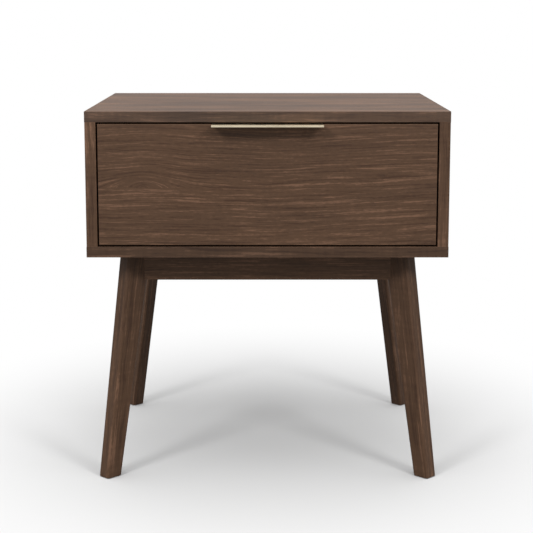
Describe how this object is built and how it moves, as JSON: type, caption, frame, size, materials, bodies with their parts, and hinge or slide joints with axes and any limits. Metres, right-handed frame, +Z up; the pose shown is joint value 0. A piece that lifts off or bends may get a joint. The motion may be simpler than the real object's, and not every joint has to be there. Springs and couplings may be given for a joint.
{
  "type": "side table with drawer",
  "caption": "Low side table: a box case with an inset drawer and a metal edge pull, on an apron frame with splayed tapered legs.",
  "frame": {"origin": "on the floor, below the centre of the box that holds the whole table with its drawer shut", "axes": "+X to the right as seen from the front, +Y to the back (the drawer opens towards -Y), +Z up"},
  "size_m": [0.5, 0.424, 0.521],
  "materials": {
    "walnut_board": "satin lacquered walnut-grain veneer on board",
    "walnut_solid": "satin lacquered solid wood, walnut stain",
    "back_sheet": "matt walnut-colour hardboard sheet",
    "birch": "clear satin lacquer on pale plywood",
    "beech": "plain sanded beech",
    "brass": "brushed pale champagne brass",
    "black_zinc_steel": "rolled steel with black zinc plating",
    "bright_steel": "zinc-plated fasteners",
    "nylon": "dark moulded nylon"
  },
  "bodies": {
    "table": {"back_panel": "back_sheet", "back_panel_screws": "bright_steel", "base_screws": "bright_steel", "bottom_panel": "walnut_board", "case_cam_bolts": "bright_steel", "case_cam_locks": "bright_steel", "case_dowels": "beech", "corner_block_front_left": "beech", "corner_block_front_right": "beech", "corner_block_rear_left": "beech", "corner_block_rear_right": "beech", "corner_block_screws": "bright_steel", "foot_glide_front_left": "nylon", "foot_glide_front_right": "nylon", "foot_glide_rear_left": "nylon", "foot_glide_rear_right": "nylon", "front_apron": "walnut_solid", "hanger_bolts": "bright_steel", "hanger_nuts": "bright_steel", "hanger_washers": "bright_steel", "left_apron": "walnut_solid", "left_side_panel": "walnut_board", "leg_front_left": "walnut_solid", "leg_front_right": "walnut_solid", "leg_rear_left": "walnut_solid", "leg_rear_right": "walnut_solid", "rear_apron": "walnut_solid", "right_apron": "walnut_solid", "right_side_panel": "walnut_board", "slide_cabinet_left": "black_zinc_steel", "slide_cabinet_right": "black_zinc_steel", "slide_cabinet_screws": "bright_steel", "top_panel": "walnut_board"},
    "drawer": {"drawer_bottom": "birch", "drawer_box_back": "birch", "drawer_box_front": "birch", "drawer_box_left": "birch", "drawer_box_right": "birch", "drawer_front": "walnut_board", "drawer_front_screws": "bright_steel", "edge_pull": "brass", "pull_screws": "brass", "slide_drawer_left": "black_zinc_steel", "slide_drawer_right": "black_zinc_steel", "slide_drawer_screws": "bright_steel"},
    "slide_middles": {"slide_middle_left": "black_zinc_steel", "slide_middle_right": "black_zinc_steel"},
    "outer_cages": {"outer_ball_cage_left": "nylon", "outer_ball_cage_right": "nylon", "outer_balls": "bright_steel"},
    "inner_cages": {"inner_ball_cage_left": "nylon", "inner_ball_cage_right": "nylon", "inner_balls": "bright_steel"}
  },
  "joints": [
    {"name": "drawer_slide", "type": "slide", "parent": "table", "child": "drawer", "axis": [0, -1, 0], "range_m": [0, 0.34]},
    {"name": "middle_slide", "type": "slide", "parent": "table", "child": "slide_middles", "axis": [0, -1, 0], "range_m": [0, 0.17]},
    {"name": "outer_cage_slide", "type": "slide", "parent": "table", "child": "outer_cages", "axis": [0, -1, 0], "range_m": [0, 0.085]},
    {"name": "inner_cage_slide", "type": "slide", "parent": "table", "child": "inner_cages", "axis": [0, -1, 0], "range_m": [0, 0.255]}
  ],
  "couplings": [
    {"joint": "middle_slide", "follows": "drawer_slide", "ratio": 0.5},
    {"joint": "outer_cage_slide", "follows": "drawer_slide", "ratio": 0.25},
    {"joint": "inner_cage_slide", "follows": "drawer_slide", "ratio": 0.75}
  ]
}
